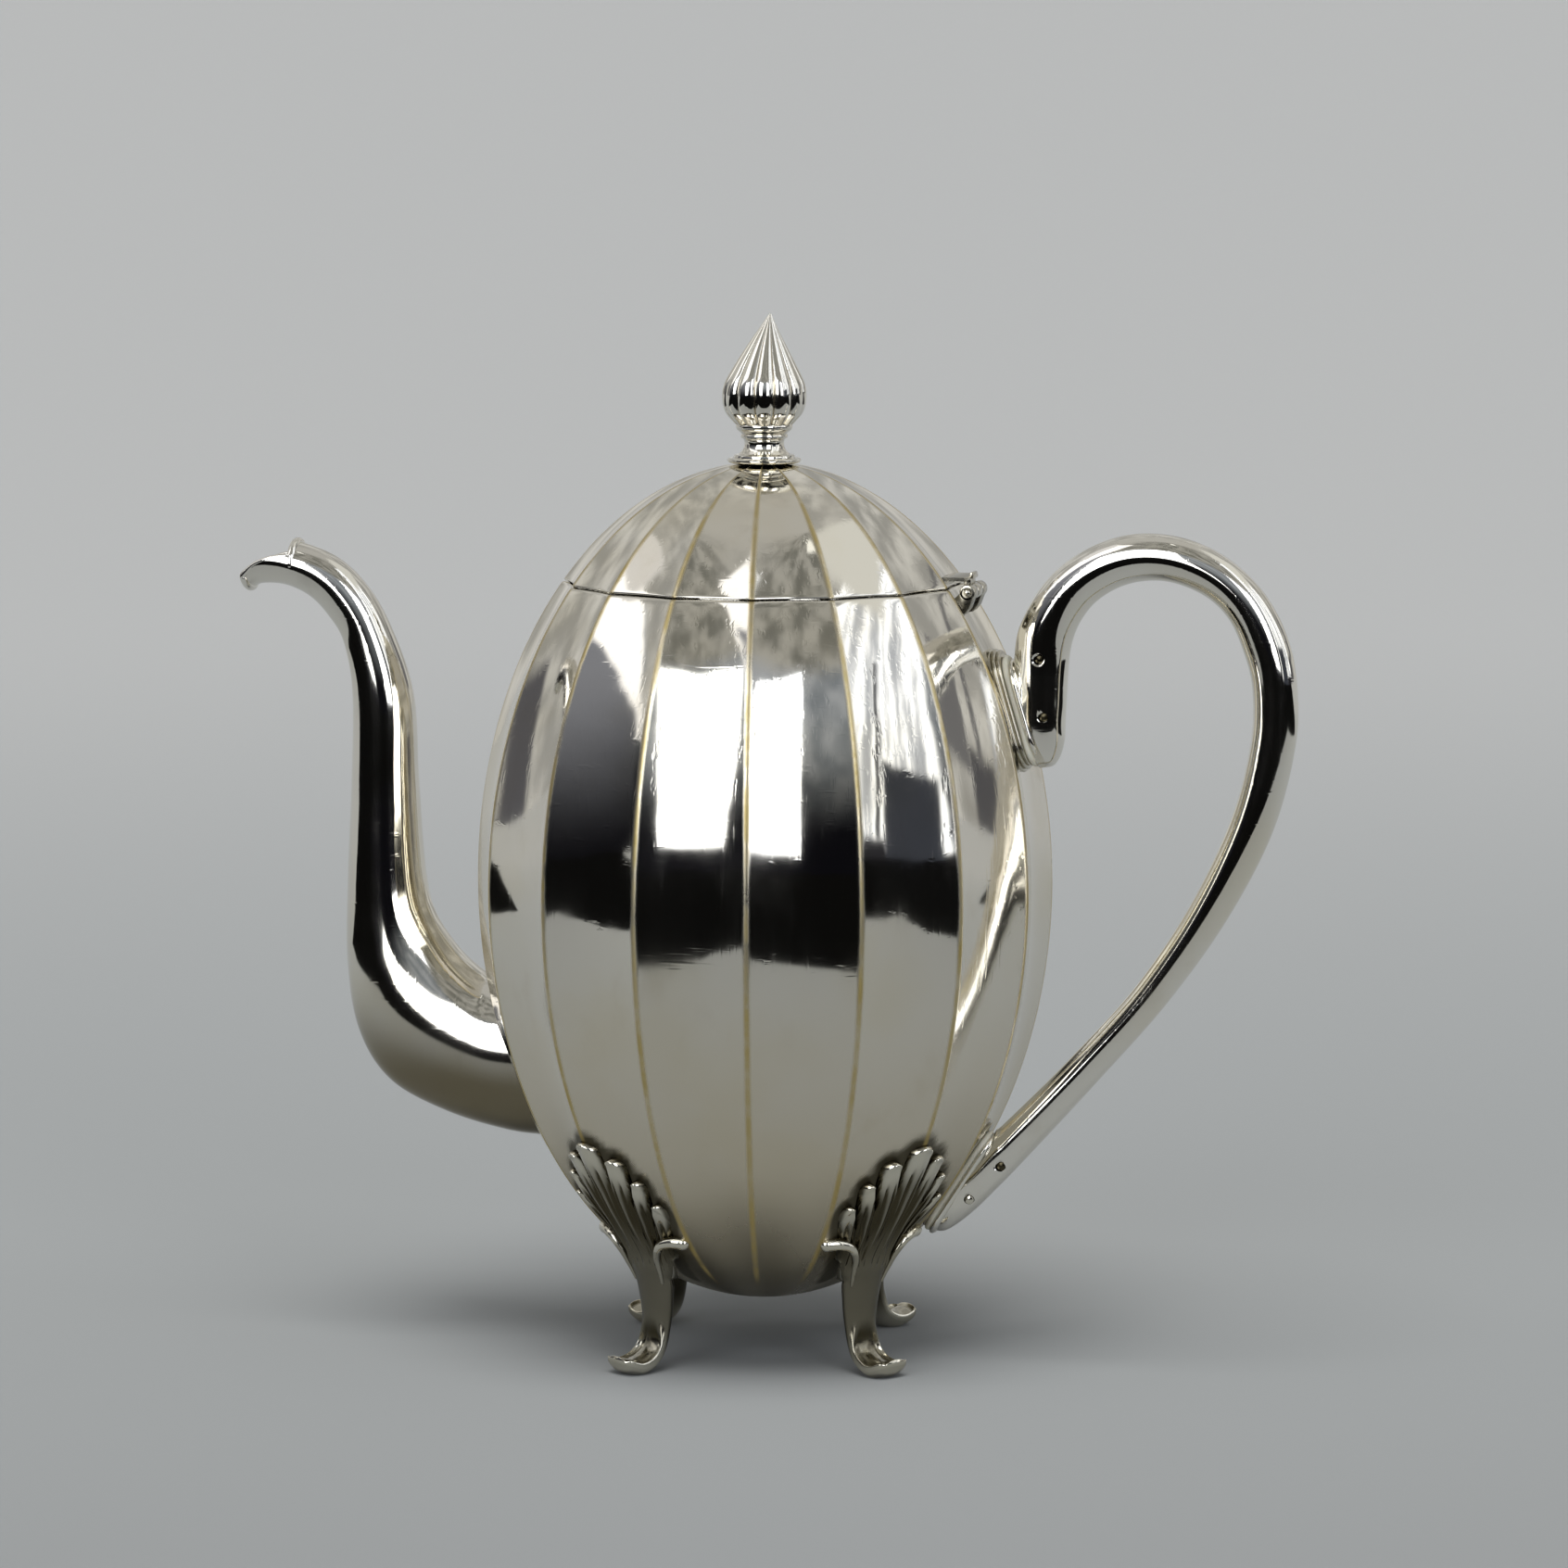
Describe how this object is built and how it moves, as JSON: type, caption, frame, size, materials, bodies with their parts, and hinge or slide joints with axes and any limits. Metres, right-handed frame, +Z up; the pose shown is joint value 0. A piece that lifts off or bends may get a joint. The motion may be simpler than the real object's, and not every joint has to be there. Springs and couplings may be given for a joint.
{
  "type": "coffee pot",
  "caption": "Fluted egg-shaped metal coffee pot on shell-leaf feet, with a swan-neck spout, a pinned hollow loop handle, and a hinged domed lid with a lobed bud finial.",
  "frame": {"origin": "on the table, directly below the body's axis", "axes": "+Z up, +X from the body's axis towards the handle, -X towards the spout, +Y to the rear when the handle is on the right"},
  "size_m": [0.2276, 0.1192, 0.22],
  "materials": {
    "silver": "hand-polished silver with fine scratches",
    "foot_silver": "cast silver, polished on the high spots, darker and yellower in the recesses",
    "pin_silver": "filed flush, slightly tarnished",
    "insulator": "cream bone, satin"
  },
  "bodies": {
    "pot": {"body_shell": "silver", "mouth_ring": "silver", "spout": "silver", "spout_lip_bead": "silver", "upper_socket": "silver", "upper_insulator": "insulator", "lower_socket": "silver", "lower_insulator": "insulator", "handle": "silver", "upper_handle_pins": "pin_silver", "lower_handle_pins": "pin_silver", "front_left_foot": "foot_silver", "front_right_foot": "foot_silver", "rear_right_foot": "foot_silver", "rear_left_foot": "foot_silver", "hinge_body_leaf": "silver", "hinge_pin": "silver"},
    "lid": {"lid_shell": "silver", "lid_flange": "silver", "hinge_lid_leaf": "silver", "finial_collar": "silver", "finial_bud": "silver", "finial_washer": "silver", "finial_nut": "silver"}
  },
  "joints": [
    {"name": "lid_hinge", "type": "hinge", "parent": "pot", "child": "lid", "pos_m": [0.045, 0, 0.163], "axis": [0, 1, 0], "range_deg": [0, 100]}
  ]
}
